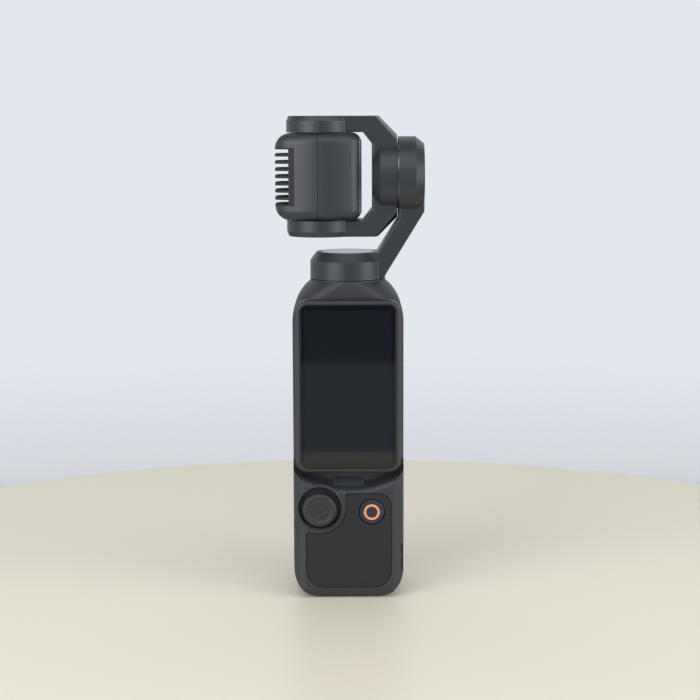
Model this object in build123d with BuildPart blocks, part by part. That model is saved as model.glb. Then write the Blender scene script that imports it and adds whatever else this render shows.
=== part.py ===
from build123d import *
from math import cos, radians, sin, sqrt, tan
import os

os.makedirs("parts", exist_ok=True)

# Pocket gimbal camera in its stowed pose, in millimetres.
# The screen faces -Y, +X is to the right of someone looking at the screen, +Z is up.
# The origin lies on the pan axis, at the flat face that the handle stands on.

# Handle
handle_width = 32.1
grip_front = 16.0
screen_bay_front = 11.4
handle_back = 14.0
grip_corner = 4.0
bay_corner = 1.5
back_corner = 9.0
base_corner = 8.8
base_front_edge = 3.6
base_back_edge = 3.0
wall = 1.8
floor_thickness = 2.4
parting_y = 1.0
shoulder_z = 81.2
shoulder_sections = 4
neck_z = 92.5
neck_radius = 11.0
neck_lip = 0.4
neck_bore = 9.1
neck_ledge = 0.8
low_side_wall = 3.3
low_cavity_corner = 6.5
low_cavity_front_corner = 0.3
low_cavity_back_corner = 5.6
low_back_wall = 2.5
cavity_step_z = 20.0
cavity_top = 79.6
rib_count = 9
rib_pitch = 1.7
rib_width = 0.6
rib_depth = 0.3
rib_bottom = 12.0
rib_top = 66.0

# Screen that turns on the handle
screen_side_border = 1.45
screen_end_border = 1.4
screen_corner = 3.6
screen_front = 17.2
screen_gap = 0.4
screen_edge = 1.0
screen_cover_chamfer = 0.6
glass_width = 27.3
glass_height = 47.2
glass_corner = 2.0
glass_depth = 0.9
glass_proud = 0.3
glass_gap = 0.1
glass_edge = 0.15
display_depth = 1.2
display_margin = 0.4
cover_rim = 1.4
pivot_radius = 4.0
pivot_bore = 2.6
pivot_clearance = 0.05
bushing_wall = 1.4
retainer_depth = 0.8
retainer_wall = 1.6
retainer_gap = 0.1

# Scoop below the screen, a groove turned about the screen's pivot
lip_z = 31.2
scoop_tuck = 0.694
scoop_width = 4.3
scoop_lip_slope = 0.25

# Status window in the scoop
window_width = 9.2
window_height = 3.2
window_corner = 0.9
window_depth = 1.8
window_recess = 0.2
window_drop = 1.15
window_rise = 1.1
window_lean = 44.0

# Lower front panel
panel_side_inset = 3.75
panel_bottom = 3.6
panel_over_lip = 0.1
panel_depth = 1.0
panel_gap = 0.18
panel_low_corner = 5.0
panel_high_corner = 3.5
panel_notch_corner = 0.8

# Joystick, which tilts two ways and can be pressed
stick_inset = 7.7
stick_z = 27.2
stick_cap_radius = 4.9
stick_cap_taper = 0.4
stick_cap_band = 1.0
stick_cap_front = 19.5
stick_cap_back = 15.9
stick_cap_edge = 0.9
stick_dish = 0.4
stick_dish_radius = 3.8
stick_dish_slope = 1.2
stick_well = 6.0
stick_well_edge = 0.25
stick_collar = 6.9
stick_collar_proud = 0.3
stick_collar_edge = 0.5
stick_notch = 7.7
stick_floor_front = 14.0
stick_floor_depth = 0.6
stick_aperture = 2.0
stick_pivot_front = 12.0
stick_press = 0.3
stem_radius = 1.1
stem_tail = 1.1
stem_seat = 1.3
trunnion_shy = 0.1
cradle_outer = 2.7
cradle_inner = 1.75
cradle_half_depth = 0.8
trunnion_radius = 0.4
trunnion_clearance = 0.05
slider_half = 3.4
slider_bore = 2.95
slider_depth = 2.2
slider_clearance = 0.05
stick_base_wall = 0.5
stick_base_floor = 0.6
button_board_front = 9.4
button_board_depth = 0.8
button_board_gap = 0.75
button_board_bottom = 14.0

# Record button
record_inset = 9.35
record_z = 26.0
record_radius = 3.6
record_gap = 0.25
record_proud = 0.3
record_edge = 0.3
record_cap_depth = 1.35
record_press = 0.3
record_slack = 0.35
record_stem = 1.2
record_stem_gap = 0.1
record_flange = 1.9
record_flange_depth = 0.7
record_flange_gap = 0.2
ring_outer = 2.3
ring_inner = 1.6
ring_depth = 0.4
ring_proud = 0.1
switch_side = 4.2
switch_depth = 1.9
switch_gap = 0.1
plunger_radius = 0.9

# Charging port and contacts in the base
port_y = 4.6
port_width = 8.9
port_thickness = 3.2
port_wall = 0.3
port_length = 7.3
port_inset = 0.3
port_gap = 0.05
tongue_width = 6.7
tongue_thickness = 0.7
tongue_length = 4.6
contact_y = -4.8
contact_count = 4
contact_pitch = 2.9
contact_length = 1.9
contact_width = 1.2
contact_inset = 0.05

# Card slot in the left wall, lanyard eyelet in the right wall
card_slot_bottom = 11.1
card_slot_height = 12.1
card_slot_front = 13.3
card_slot_width = 1.3
card_socket_length = 14.4
card_socket_thickness = 1.9
card_socket_height = 11.2
card_socket_gap = 0.1
card_mouth_width = 0.9
eyelet_bottom = 7.8
eyelet_height = 8.6
eyelet_front = 14.5
eyelet_width = 4.4
eyelet_depth = 2.7
eyelet_corner = 1.2
lanyard_bar_radius = 0.5
lanyard_bar_inset = 1.15
lanyard_bar_seat = 0.5

# Inside the handle
battery_width = 21.0
battery_depth = 12.0
battery_height = 54.0
battery_corner = 3.0
battery_bottom = 20.8
battery_back_gap = 0.2
mid_frame_front = 8.4
mid_frame_depth = 1.0
mid_frame_bottom = 33.0
mid_frame_screw_gap = 0.9
mid_frame_window = 6.2
mid_frame_gap = 0.1
main_board_gap = 1.25
main_board_depth = 1.0
chip_height = 1.2
chip_side = 9.0
chip_pitch = 13.0
speaker_width = 12.0
speaker_depth = 3.0
speaker_height = 9.0
speaker_bottom = 5.5
boss_radius = 1.9
high_boss_radius = 1.5
screw_shank = 0.7
screw_head = 1.4
screw_head_depth = 0.7
screw_length = 7.0
low_screw_x = 9.2
low_screw_z = 6.6
high_screw_x = 11.0
high_screw_z = 77.4

# Sizes that the three gimbal motors share
magnet_depth = 0.8
magnet_count = 14
magnet_space = 0.5
air_gap = 0.25
bell_wall = 0.65
bell_base = 0.9
stator_back = 1.2
tooth_count = 9
tooth_width = 1.5
tooth_tip = 0.9
tooth_slot = 1.2
motor_tube = 3.4
bearing_outer = 2.75
bearing_width = 1.8
bearing_clearance = 0.03
shaft_radius = 1.5
end_gap = 0.4
cover_depth = 0.9
thin_cover_depth = 0.5

# Pan motor and the round foot of the arm
pan_gap = 0.2
pan_radius = 11.0
pan_top = 100.4
pan_bevel_radius = 9.13
pan_bevel_depth = 2.5
pan_cup_radius = 9.7
pan_cup_top = 98.4
pan_hub_drop = 0.8
pan_hub_radius = 2.6
pan_cover_radius = 7.6
motor_base_drop = 3.2
motor_base_depth = 1.5

# Arm from the pan motor up to the roll motor
roll_z = 122.36
arm_half_depth = 6.6
arm_edge = 0.5
web_blend = 0.8
web_overlap = 0.15
web_inset = 0.02
arm_lean = 31.6
arm_inner_x = 9.46
arm_inner_z = 101.76
arm_outer_x = 10.17
roll_seam_x = 14.8
roll_end_x = 22.2
roll_radius = 11.4
roll_bevel_radius = 9.4
roll_bevel_depth = 2.5
roll_cup_radius = 9.8
roll_cup_end = 20.4
roll_cover_radius = 8.4
roll_bell_radius = 9.4
roll_hub_radius = 6.0
roll_tube_x = 16.0

# Tilt frame, the open yoke that carries the camera between two discs
yoke_gap = 0.12
yoke_right_x = 14.4
yoke_web_x = 7.15
yoke_cone_x = 9.1
yoke_cone_end = 11.97
yoke_bevel_x = 4.5
yoke_bevel_half = 9.3
drum_radius = 10.6
drum_face_radius = 8.1
drum_bevel_x = 9.4
tilt_x = -7.95
disc_radius = 9.75
disc_bevel = 0.55
disc_bevel_depth = 1.5
tilt_bore = 8.75
tilt_end_wall = 0.6
tilt_cover_radius = 8.2
tilt_bell_radius = 8.3
tilt_hub_radius = 4.0
lower_seat_radius = 3.0
tilt_pin_seat = 1.9
roll_shaft_seat = 2.5
shaft_end_gap = 0.3
tilt_bell_rise = 0.2
tilt_stator_depth = 2.09

# Camera head
camera_half = 12.53
camera_front_x = 4.1
camera_seam_x = -8.56
camera_half_depth = 11.5
camera_belly_x = -7.0
camera_side_arc = 25.0
camera_front_corner = 4.6
camera_back_corner = 5.6
camera_back_round = 4.8
camera_shoulder = 3.0
camera_seam_edge = 0.15
camera_back_x = -20.9
slot_floor_x = -16.9
fin_band_x = -15.2
fin_band_depth = 0.4
fin_count = 7
fin_pitch = 2.06
fin_thickness = 0.78
glass_slice = 0.35
bezel_slice = 0.27
camera_wall = 1.5
barrel_radius = 7.0
barrel_wall = 1.1
barrel_lip = 0.8
lens_aperture = 5.4
front_lens_edge = 0.8
front_lens_curve = 11.0
mid_lens_depth = 1.0
mid_lens_x = -1.6
focus_lens_depth = 2.2
focus_lens_x = -5.0
focus_travel = 0.5
focus_clearance = 0.05
sensor_width = 8.8
sensor_height = 13.2
sensor_thickness = 1.0
sensor_board_half_y = 5.1
sensor_board_half_z = 7.3
sensor_board_thickness = 1.0
sensor_board_gap = 0.1
camera_screw_y = 6.2
camera_screw_z = 8.6
camera_screw_shank = 0.5
camera_screw_head = 0.9
camera_screw_head_depth = 0.6
camera_screw_length = 15.0

# Worked out from the sizes above
half_width = handle_width / 2
low_cavity_half = half_width - low_side_wall
stick_x = stick_inset - half_width
record_x = half_width - record_inset
screen_width = glass_width + 2 * screen_side_border
screen_height = glass_height + 2 * screen_end_border
screen_reach = screen_corner + sqrt(
    (screen_width / 2 - screen_corner) ** 2 + (screen_height / 2 - screen_corner) ** 2
)
scoop_start = screen_reach - scoop_tuck
scoop_end = scoop_start + scoop_width
screen_z = lip_z + scoop_end
panel_half = half_width - panel_side_inset
panel_top = lip_z + panel_over_lip
window_z = screen_z - scoop_start - window_drop
window_front = screen_bay_front + window_rise
cavity_half = half_width - wall
bay_wall_back = screen_bay_front - wall
stick_floor_back = stick_floor_front - stick_floor_depth
cavity_back = handle_back - wall
grip_top = screen_z - sqrt(scoop_start**2 - half_width**2)
low_cavity_top = lip_z
screen_back = screen_bay_front + screen_gap
frame_front = screen_front - glass_proud
glass_back = screen_front - glass_depth
display_back = glass_back - display_depth
frame_back = screen_back + cover_rim
panel_floor = grip_front - panel_depth
board_back = button_board_front - button_board_depth
record_front = grip_front + record_proud
record_back = record_front - record_cap_depth
record_pocket = record_back - record_slack - record_press
record_flange_front = stick_floor_back - record_flange_gap
record_stem_end = record_flange_front - record_flange_depth
plunger_front = record_stem_end - record_press - switch_gap
pan_bottom = neck_z + pan_gap
motor_base_z = neck_z - motor_base_drop
rotor_loss = bell_wall + magnet_depth + air_gap
roll_axis = Axis((0, 0, roll_z), (1, 0, 0))
camera_top = roll_z + camera_half
camera_bottom = roll_z - camera_half
yoke_half_inner = camera_half + yoke_gap
disc_depth = tilt_bell_rise + bell_base + end_gap + tilt_stator_depth + tilt_end_wall + thin_cover_depth
yoke_half_outer = yoke_half_inner + disc_depth
yoke_top = roll_z + yoke_half_outer
yoke_top_inner = roll_z + yoke_half_inner
yoke_bottom = roll_z - yoke_half_outer
yoke_bottom_inner = roll_z - yoke_half_inner
tilt_bore_top = yoke_top - thin_cover_depth - tilt_end_wall
glass_x = camera_front_x - glass_slice
bezel_x = glass_x - bezel_slice
sensor_board_x = camera_seam_x - sensor_board_gap
barrel_back_x = sensor_board_x + sensor_thickness
barrel_bore = barrel_radius - barrel_wall
lower_seat_z = yoke_bottom + thin_cover_depth + tilt_end_wall
tilt_pin_length = camera_bottom + tilt_pin_seat - lower_seat_z - shaft_end_gap


def save(piece, name):
    """Label a finished piece and write it to a file of its own name."""
    piece.label = name
    export_step(piece, f"parts/{name}.step")


def front_plane(distance):
    """Plane facing the viewer, at a distance in front of the pan axis, with X and Z as its axes."""
    return Plane.XZ.offset(distance)


def across(x, y=0, z=roll_z):
    """Plane facing +X at x, centred on the roll axis."""
    return Plane(origin=(x, y, z), x_dir=(0, 1, 0), z_dir=(1, 0, 0))


def handle_plan(level, half, front, back, front_radius, back_radius):
    """Outline of the handle seen from above."""
    with BuildSketch(Plane.XY.offset(level)) as plan:
        with Locations((0, (back - front) / 2)):
            Rectangle(2 * half, front + back)
        fillet(plan.vertices().group_by(Axis.Y)[0], front_radius)
        fillet(plan.vertices().group_by(Axis.Y)[-1], back_radius)
    return plan.sketch


def shoulder_plan(step):
    """Outline of the shoulder between the grip, at step 0, and the neck, at step 1."""
    height = neck_z - neck_lip - shoulder_z
    inset = half_width - neck_radius
    arc = (height**2 + inset**2) / (2 * inset)
    share = (arc - sqrt(arc**2 - (step * height) ** 2)) / inset
    near_round = neck_radius - neck_lip / 2
    return handle_plan(
        shoulder_z + step * height,
        half_width - share * inset,
        screen_bay_front + share * (neck_radius - screen_bay_front),
        handle_back + share * (neck_radius - handle_back),
        bay_corner + step * (near_round - bay_corner),
        back_corner + share * (near_round - back_corner),
    )


def panel_outline(grow):
    """Outline of the lower front panel, notched round the joystick, grown by a gap."""
    notch_x = stick_x + stick_notch - grow
    notch_z = stick_z - stick_notch + grow
    right = panel_half + grow
    top = panel_top + grow
    with BuildSketch() as outline:
        with Locations((0, (panel_top + panel_bottom) / 2)):
            Rectangle(2 * right, panel_top - panel_bottom + 2 * grow)
        fillet(outline.vertices().group_by(Axis.Y)[0], panel_low_corner + grow)
        fillet(outline.vertices().sort_by_distance((right, top))[0], panel_high_corner + grow)
        with Locations((notch_x, notch_z)):
            Rectangle(
                notch_x + right,
                top - notch_z,
                align=(Align.MAX, Align.MIN),
                mode=Mode.SUBTRACT,
            )
        fillet(outline.vertices().sort_by_distance((notch_x, notch_z))[0], stick_notch - grow)
        fillet(outline.vertices().sort_by_distance((notch_x, top))[0], panel_notch_corner)
        fillet(outline.vertices().sort_by_distance((-right, notch_z))[0], panel_notch_corner)
    return outline.sketch


def ring(plane, outer, inner, depth):
    """Ring that stands on a plane."""
    with BuildPart() as piece:
        with BuildSketch(plane):
            Circle(outer)
            Circle(inner, mode=Mode.SUBTRACT)
        extrude(amount=depth)
    return piece.part


def disc(plane, radius, depth):
    """Plain disc or pin that stands on a plane."""
    with BuildPart() as piece:
        with BuildSketch(plane):
            Circle(radius)
        extrude(amount=depth)
    return piece.part


def magnet_ring(plane, outer, depth):
    """Arc magnets in a ring, with a small space from each to the next."""
    with BuildPart() as piece:
        with BuildSketch(plane):
            Circle(outer)
            Circle(outer - magnet_depth, mode=Mode.SUBTRACT)
            with PolarLocations(outer, magnet_count):
                Rectangle(4 * magnet_depth, magnet_space, mode=Mode.SUBTRACT)
        extrude(amount=depth)
    return piece.part


def stator(plane, outer, inner, depth):
    """Laminated core whose teeth end in wide tips, with a slot between each two tips."""
    with BuildPart() as piece:
        with BuildSketch(plane):
            Circle(outer)
            Circle(outer - tooth_tip, mode=Mode.SUBTRACT)
            with PolarLocations(outer, tooth_count, start_angle=180 / tooth_count):
                Rectangle(4 * tooth_tip, tooth_slot, mode=Mode.SUBTRACT)
            Circle(inner + stator_back)
            with PolarLocations((inner + outer - tooth_tip / 2) / 2, tooth_count):
                Rectangle(outer - inner - tooth_tip / 2, tooth_width)
            Circle(inner, mode=Mode.SUBTRACT)
        extrude(amount=depth)
    return piece.part


def bell(plane, outer, depth, hub_radius, hub_depth):
    """Rotor bell on a shaft: a hub, a base plate and a wall, open towards the plane's normal."""
    with BuildPart() as piece:
        with BuildSketch(plane):
            Circle(hub_radius)
        extrude(amount=hub_depth)
        with BuildSketch(plane.offset(hub_depth)):
            Circle(outer)
        extrude(amount=bell_base)
        with BuildSketch(plane.offset(hub_depth + bell_base)):
            Circle(outer)
            Circle(outer - bell_wall, mode=Mode.SUBTRACT)
        extrude(amount=depth - bell_base)
        with BuildSketch(plane):
            Circle(shaft_radius)
        extrude(amount=hub_depth + bell_base, mode=Mode.SUBTRACT)
    return piece.part


def webbed_disc(plane, radius, straight, tip_radius, taper):
    """Disc with a tapered end, blended into the flat sides of a bar that leaves it towards +X."""

    half = arm_half_depth - web_inset

    def outline(level, reach):
        near = sqrt(reach**2 - half**2)
        far = sqrt((reach + web_blend) ** 2 - (half + web_blend) ** 2)
        with BuildSketch(plane.offset(level)) as plan:
            Circle(reach)
            Rectangle(far + web_overlap, 2 * half, align=(Align.MIN, Align.CENTER))
            local = plan.sketch_local.vertices()
            corners = [local.sort_by_distance((near, y, 0))[0] for y in (-half, half)]
            fillet(corners, web_blend)
        return plan.sketch

    with BuildPart() as piece:
        for level, reach in ((0, radius), (straight, radius), (straight + taper, tip_radius)):
            add(outline(level, reach))
        loft(ruled=True)
    return piece.part


# Solid of the whole handle, which is then hollowed and parted into two shells
with BuildPart() as grip_block:
    add(handle_plan(0, half_width, grip_front, handle_back, grip_corner, back_corner))
    extrude(amount=grip_top)
    with BuildSketch(front_plane(grip_front)) as silhouette:
        with Locations((0, grip_top)):
            Rectangle(handle_width, 2 * grip_top)
        with Locations((0, 0)):
            Rectangle(handle_width, grip_top, align=(Align.CENTER, Align.MAX), mode=Mode.SUBTRACT)
        fillet(silhouette.vertices().group_by(Axis.Y)[0], base_corner)
    extrude(amount=-(grip_front + handle_back), mode=Mode.INTERSECT)
    with BuildSketch(Plane.YZ.offset(-half_width)) as profile:
        with Locations((-grip_front, 0)):
            Rectangle(grip_front + handle_back, 2 * grip_top, align=(Align.MIN, Align.MIN))
        fillet(profile.vertices().group_by(Axis.Y)[0].sort_by(Axis.X)[0], base_front_edge)
        fillet(profile.vertices().group_by(Axis.Y)[0].sort_by(Axis.X)[-1], base_back_edge)
    extrude(amount=handle_width, mode=Mode.INTERSECT)
    # The scoop gives the corners of the screen room to swing round
    with BuildSketch(Plane.YZ):
        with BuildLine():
            start = (-screen_bay_front, screen_z - scoop_start)
            end = (-grip_front, screen_z - scoop_end)
            clear = -grip_front - stick_collar_proud
            Spline(start, end, tangents=((0, -1), (-scoop_lip_slope, -1)))
            Polyline(end, (clear, end[1]), (clear, screen_z), (-screen_bay_front, screen_z), start)
        make_face()
    revolve(axis=Axis((0, 0, screen_z), (0, 1, 0)), mode=Mode.SUBTRACT)

with BuildPart() as collar:
    with BuildSketch(front_plane(stick_floor_back)):
        with Locations((stick_x, stick_z)):
            Circle(stick_collar)
    extrude(amount=grip_front + stick_collar_proud - stick_floor_back)
    chamfer(collar.faces().sort_by(Axis.Y)[0].edges(), stick_collar_edge)

# Slope round the mouth of the joystick's well, which lets the tilted cap pass
with BuildPart() as stick_well_mouth:
    collar_front = grip_front + stick_collar_proud
    for distance, radius in (
        (collar_front - stick_well_edge, stick_well),
        (collar_front, stick_well + stick_well_edge),
    ):
        with BuildSketch(front_plane(distance)):
            with Locations((stick_x, stick_z)):
                Circle(radius)
    loft()

with BuildPart() as handle:
    add(grip_block.part)
    add(
        handle_plan(
            low_cavity_top, half_width, screen_bay_front, handle_back, bay_corner, back_corner
        )
    )
    extrude(amount=shoulder_z - low_cavity_top)
    for section in range(shoulder_sections + 1):
        add(shoulder_plan(section / shoulder_sections))
    loft()
    with BuildSketch(Plane.XY.offset(neck_z - neck_lip)):
        Circle(neck_radius)
    extrude(amount=neck_lip)
    add(collar.part)

# Space inside the handle
with BuildPart() as cavity:
    add(
        handle_plan(
            floor_thickness,
            low_cavity_half,
            stick_floor_back,
            handle_back - low_back_wall,
            low_cavity_front_corner,
            low_cavity_back_corner,
        )
    )
    extrude(amount=low_cavity_top - floor_thickness)
    with BuildSketch(front_plane(grip_front)) as cavity_silhouette:
        with Locations((0, floor_thickness)):
            Rectangle(2 * low_cavity_half, low_cavity_top, align=(Align.CENTER, Align.MIN))
        fillet(cavity_silhouette.vertices().group_by(Axis.Y)[0], low_cavity_corner)
    extrude(amount=-(grip_front + handle_back), mode=Mode.INTERSECT)
    add(
        handle_plan(
            cavity_step_z,
            cavity_half,
            bay_wall_back,
            cavity_back,
            bay_corner,
            back_corner - wall,
        )
    )
    extrude(amount=cavity_top - cavity_step_z)
    with BuildSketch(Plane.XY.offset(cavity_top)):
        Circle(neck_bore - neck_ledge)
    extrude(amount=motor_base_z - cavity_top)
    with BuildSketch(Plane.XY.offset(motor_base_z)):
        Circle(neck_bore)
    extrude(amount=neck_z - motor_base_z)

window_plane = Plane(
    origin=(0, -window_front, window_z),
    x_dir=(1, 0, 0),
    z_dir=(0, -cos(radians(window_lean)), sin(radians(window_lean))),
)

# Screw places: low pair under the front panel, high pair behind the screen
low_screws = [(-low_screw_x, low_screw_z), (low_screw_x, low_screw_z)]
high_screws = [(-high_screw_x, high_screw_z), (high_screw_x, high_screw_z)]

with BuildPart() as rear_shell:
    add(handle.part)
    split(bisect_by=Plane.XZ.offset(-parting_y), keep=Keep.BOTTOM)
    add(cavity.part, mode=Mode.SUBTRACT)
    with BuildSketch(front_plane(stick_floor_back)):
        with Locations(*low_screws):
            Circle(boss_radius)
    extrude(amount=-(stick_floor_back + cavity_back))
    with BuildSketch(front_plane(bay_wall_back)):
        with Locations(*high_screws):
            Circle(high_boss_radius)
    extrude(amount=-(bay_wall_back + cavity_back))
    with BuildSketch(front_plane(stick_floor_back)):
        with Locations(*low_screws):
            Circle(screw_shank)
    extrude(amount=-screw_length, mode=Mode.SUBTRACT)
    with BuildSketch(front_plane(bay_wall_back)):
        with Locations(*high_screws):
            Circle(screw_shank)
    extrude(amount=-screw_length, mode=Mode.SUBTRACT)
    # Fine upright grooves that give the palm its grip
    with BuildSketch(front_plane(-handle_back)):
        with Locations((0, (rib_bottom + rib_top) / 2)):
            with GridLocations(rib_pitch, 1, rib_count, 1):
                Rectangle(rib_width, rib_top - rib_bottom)
    extrude(amount=rib_depth, mode=Mode.SUBTRACT)
    with BuildSketch():
        with Locations((0, port_y)):
            SlotOverall(port_width + 2 * port_gap, port_thickness + 2 * port_gap)
    extrude(amount=floor_thickness, mode=Mode.SUBTRACT)
save(rear_shell.part, "rear_shell")

with BuildPart() as front_shell:
    add(handle.part)
    split(bisect_by=Plane.XZ.offset(-parting_y), keep=Keep.TOP)
    add(cavity.part, mode=Mode.SUBTRACT)
    # Seat of the screen's bushing
    with BuildSketch(front_plane(bay_wall_back)):
        with Locations((0, screen_z)):
            Circle(pivot_radius + pivot_clearance + bushing_wall)
    extrude(amount=wall, mode=Mode.SUBTRACT)
    # Recess of the lower panel
    with BuildSketch(front_plane(panel_floor)):
        add(panel_outline(panel_gap))
    extrude(amount=grip_front, mode=Mode.SUBTRACT)
    # Well and stem opening of the joystick
    with BuildSketch(front_plane(stick_floor_front)):
        with Locations((stick_x, stick_z)):
            Circle(stick_well)
    extrude(amount=grip_front, mode=Mode.SUBTRACT)
    add(stick_well_mouth.part, mode=Mode.SUBTRACT)
    with BuildSketch(front_plane(stick_floor_back)):
        with Locations((stick_x, stick_z)):
            Circle(stick_aperture)
    extrude(amount=stick_floor_depth, mode=Mode.SUBTRACT)
    with BuildSketch(window_plane.offset(-window_depth)):
        RectangleRounded(window_width, window_height, window_corner)
    extrude(amount=2 * window_depth, mode=Mode.SUBTRACT)
    # Pocket and stem opening of the record button
    with BuildSketch(front_plane(record_pocket)):
        with Locations((record_x, record_z)):
            Circle(record_radius + record_gap)
    extrude(amount=panel_floor - record_pocket, mode=Mode.SUBTRACT)
    with BuildSketch(front_plane(stick_floor_back)):
        with Locations((record_x, record_z)):
            Circle(record_stem + record_stem_gap)
    extrude(amount=record_pocket - stick_floor_back, mode=Mode.SUBTRACT)
    # Holes and head seats of the screws
    with Locations(*[Location((x, -panel_floor, z), (90, 0, 0)) for x, z in low_screws]):
        CounterBoreHole(screw_shank, screw_head, screw_head_depth, depth=panel_floor - stick_floor_back)
    with Locations(*[Location((x, -screen_bay_front, z), (90, 0, 0)) for x, z in high_screws]):
        CounterBoreHole(screw_shank, screw_head, screw_head_depth, depth=wall)
    # Slot for the memory card
    with BuildSketch(Plane.YZ.offset(-low_cavity_half)):
        with Locations((-card_slot_front, card_slot_bottom)):
            Rectangle(card_slot_width, card_slot_height, align=(Align.MIN, Align.MIN))
    extrude(amount=-grip_front, mode=Mode.SUBTRACT)
    # Lanyard eyelet, with seats for its bar
    with BuildSketch(Plane.YZ.offset(half_width - eyelet_depth)) as eyelet:
        with Locations((-eyelet_front, eyelet_bottom)):
            Rectangle(eyelet_width, eyelet_height, align=(Align.MIN, Align.MIN))
        fillet(eyelet.vertices(), eyelet_corner)
    extrude(amount=grip_front, mode=Mode.SUBTRACT)
    with BuildSketch(front_plane(eyelet_front + lanyard_bar_seat)):
        with Locations((half_width - lanyard_bar_inset, eyelet_bottom + eyelet_height / 2)):
            Circle(lanyard_bar_radius)
    extrude(amount=-(eyelet_width + 2 * lanyard_bar_seat), mode=Mode.SUBTRACT)
    # Pockets of the charging contacts
    with BuildSketch():
        with Locations((0, contact_y)):
            with GridLocations(contact_pitch, 1, contact_count, 1):
                Rectangle(contact_length, contact_width)
    extrude(amount=floor_thickness, mode=Mode.SUBTRACT)
save(front_shell.part, "front_shell")

with BuildPart() as lanyard_bar:
    with BuildSketch(front_plane(eyelet_front + lanyard_bar_seat)):
        with Locations((half_width - lanyard_bar_inset, eyelet_bottom + eyelet_height / 2)):
            Circle(lanyard_bar_radius)
    extrude(amount=-(eyelet_width + 2 * lanyard_bar_seat))
    add(handle.part, mode=Mode.INTERSECT)
save(lanyard_bar.part, "lanyard_bar")

with BuildPart() as grip_panel:
    with BuildSketch(front_plane(panel_floor)):
        add(panel_outline(0))
    extrude(amount=panel_depth)
    with BuildSketch(front_plane(panel_floor)):
        with Locations((record_x, record_z)):
            Circle(record_radius + record_gap)
    extrude(amount=panel_depth, mode=Mode.SUBTRACT)
save(grip_panel.part, "grip_panel")

with BuildPart() as accessory_contacts:
    with BuildSketch(Plane.XY.offset(contact_inset)):
        with Locations((0, contact_y)):
            with GridLocations(contact_pitch, 1, contact_count, 1):
                Rectangle(contact_length, contact_width)
    extrude(amount=floor_thickness - contact_inset)
save(accessory_contacts.part, "accessory_contacts")

with BuildPart() as usb_c_port:
    with BuildSketch(Plane.XY.offset(port_inset)):
        with Locations((0, port_y)):
            SlotOverall(port_width, port_thickness)
    extrude(amount=port_length)
    with BuildSketch(Plane.XY.offset(port_inset)):
        with Locations((0, port_y)):
            SlotOverall(port_width - 2 * port_wall, port_thickness - 2 * port_wall)
            Rectangle(tongue_width, tongue_thickness, mode=Mode.SUBTRACT)
    extrude(amount=tongue_length, mode=Mode.SUBTRACT)
save(usb_c_port.part, "usb_c_port")

with BuildPart() as status_led_window:
    with BuildSketch(window_plane.offset(-window_depth)):
        RectangleRounded(window_width, window_height, window_corner)
    extrude(amount=window_depth - window_recess)
save(status_led_window.part, "status_led_window")

with BuildPart() as shell_screws:
    for places, level in ((low_screws, panel_floor), (high_screws, screen_bay_front)):
        with BuildSketch(front_plane(level)):
            with Locations(*places):
                Circle(screw_head)
        extrude(amount=-screw_head_depth)
        with BuildSketch(front_plane(level - screw_head_depth)):
            with Locations(*places):
                Circle(screw_shank)
        extrude(amount=-screw_length)
save(shell_screws.part, "shell_screws")

# Screen: bushing in the shell, pivot tube and retainer, then the case with its display
screen_origin = (0, screen_z)


def screen_ring(distance, outer, inner, depth):
    """Ring round the screen's pivot that reaches back from a distance in front."""
    with BuildPart() as piece:
        with BuildSketch(front_plane(distance)):
            with Locations(screen_origin):
                Circle(outer)
                Circle(inner, mode=Mode.SUBTRACT)
        extrude(amount=-depth)
    return piece.part


bushing_bore = pivot_radius + pivot_clearance
retainer_front = bay_wall_back - retainer_gap
save(
    screen_ring(screen_bay_front, bushing_bore + bushing_wall, bushing_bore, wall),
    "screen_bushing",
)
save(
    screen_ring(
        screen_back, pivot_radius, pivot_bore, screen_back - retainer_front + retainer_depth
    ),
    "screen_pivot",
)
save(
    screen_ring(retainer_front, pivot_radius + retainer_wall, pivot_radius, retainer_depth),
    "screen_retainer",
)

display_width = glass_width - 2 * display_margin
display_height = glass_height - 2 * display_margin

with BuildPart() as screen_rear_cover:
    with BuildSketch(front_plane(screen_back)):
        with Locations(screen_origin):
            RectangleRounded(screen_width, screen_height, screen_corner)
    extrude(amount=cover_rim)
    chamfer(screen_rear_cover.faces().sort_by(Axis.Y)[-1].edges(), screen_cover_chamfer)
    with BuildSketch(front_plane(frame_back)):
        with Locations(screen_origin):
            RectangleRounded(display_width, display_height, glass_corner)
    extrude(amount=display_back - frame_back)
save(screen_rear_cover.part, "screen_rear_cover")

with BuildPart() as screen_frame:
    with BuildSketch(front_plane(frame_back)):
        with Locations(screen_origin):
            RectangleRounded(screen_width, screen_height, screen_corner)
    extrude(amount=frame_front - frame_back)
    fillet(screen_frame.faces().sort_by(Axis.Y)[0].edges(), screen_edge)
    with BuildSketch(front_plane(frame_back)):
        with Locations(screen_origin):
            RectangleRounded(
                glass_width + 2 * glass_gap,
                glass_height + 2 * glass_gap,
                glass_corner + glass_gap,
            )
    extrude(amount=frame_front - frame_back, mode=Mode.SUBTRACT)
save(screen_frame.part, "screen_frame")

with BuildPart() as display_panel:
    with BuildSketch(front_plane(display_back)):
        with Locations(screen_origin):
            RectangleRounded(display_width, display_height, glass_corner)
    extrude(amount=display_depth)
save(display_panel.part, "display_panel")

with BuildPart() as cover_glass:
    with BuildSketch(front_plane(glass_back)):
        with Locations(screen_origin):
            RectangleRounded(glass_width, glass_height, glass_corner)
    extrude(amount=glass_depth)
    chamfer(cover_glass.faces().sort_by(Axis.Y)[0].edges(), glass_edge)
save(cover_glass.part, "cover_glass")

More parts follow.
